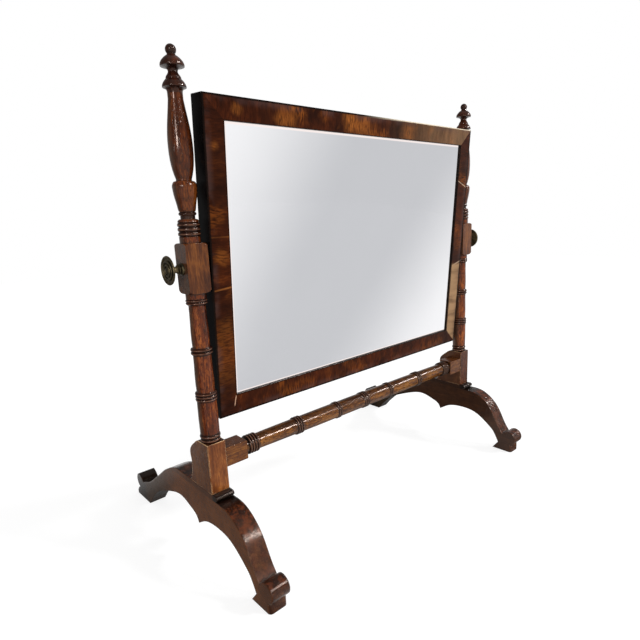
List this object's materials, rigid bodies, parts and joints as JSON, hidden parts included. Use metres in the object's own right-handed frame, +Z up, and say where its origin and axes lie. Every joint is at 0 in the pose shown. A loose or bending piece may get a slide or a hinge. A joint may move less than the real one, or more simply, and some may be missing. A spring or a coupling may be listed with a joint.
{
  "type": "dressing table mirror",
  "caption": "Swing mirror for a dressing table: veneered frame on thumb-screw pivots between turned posts on arched trestle feet, with a turned stretcher",
  "frame": {"origin": "middle of the footprint, on the table top", "axes": "+X to the right along the stretcher, +Y to the back, away from the face of the mirror, +Z up"},
  "size_m": [0.628, 0.4, 0.6416],
  "materials": {
    "mahogany": "french polished, satin gloss, worn",
    "dark_turning": "french polished, dark with age",
    "veneer": "polished cross-grained face veneer",
    "carcass": "ebonised edges",
    "pine": "planed, unfinished, aged",
    "mirror_glass": "silvered plate glass",
    "brass": "aged, dull olive patina",
    "iron": "plain wood screws and brads"
  },
  "bodies": {
    "stand": {"left_trestle_foot": "mahogany", "right_trestle_foot": "mahogany", "left_base_block": "mahogany", "right_base_block": "mahogany", "left_upright": "mahogany", "right_upright": "mahogany", "left_finial": "dark_turning", "right_finial": "dark_turning", "stretcher": "mahogany", "left_foot_screws": "iron", "right_foot_screws": "iron", "left_escutcheon": "brass", "right_escutcheon": "brass"},
    "mirror": {"frame_top_rail": "carcass", "frame_bottom_rail": "carcass", "frame_left_stile": "carcass", "frame_right_stile": "carcass", "top_banding": "veneer", "bottom_banding": "veneer", "left_banding": "veneer", "right_banding": "veneer", "mirror_glass": "mirror_glass", "glazing_blocks": "pine", "backboard": "pine", "backboard_pins": "iron", "left_pivot_plate": "brass", "right_pivot_plate": "brass", "left_plate_screws": "iron", "right_plate_screws": "iron", "left_spacer_washer": "brass", "right_spacer_washer": "brass"},
    "left_knob": {"left_pivot_screw": "brass", "left_knob_rosette": "brass"},
    "right_knob": {"right_pivot_screw": "brass", "right_knob_rosette": "brass"}
  },
  "joints": [
    {"name": "mirror_tilt", "type": "hinge", "parent": "stand", "child": "mirror", "pos_m": [0, -0.0635, 0.4], "axis": [1, 0, 0], "continuous": true},
    {"name": "left_knob_turn", "type": "hinge", "parent": "mirror", "child": "left_knob", "pos_m": [-0.3, -0.0635, 0.4], "axis": [-1, 0, 0], "range_deg": [0, 360]},
    {"name": "right_knob_turn", "type": "hinge", "parent": "mirror", "child": "right_knob", "pos_m": [0.3, -0.0635, 0.4], "axis": [1, 0, 0], "range_deg": [0, 360]}
  ]
}
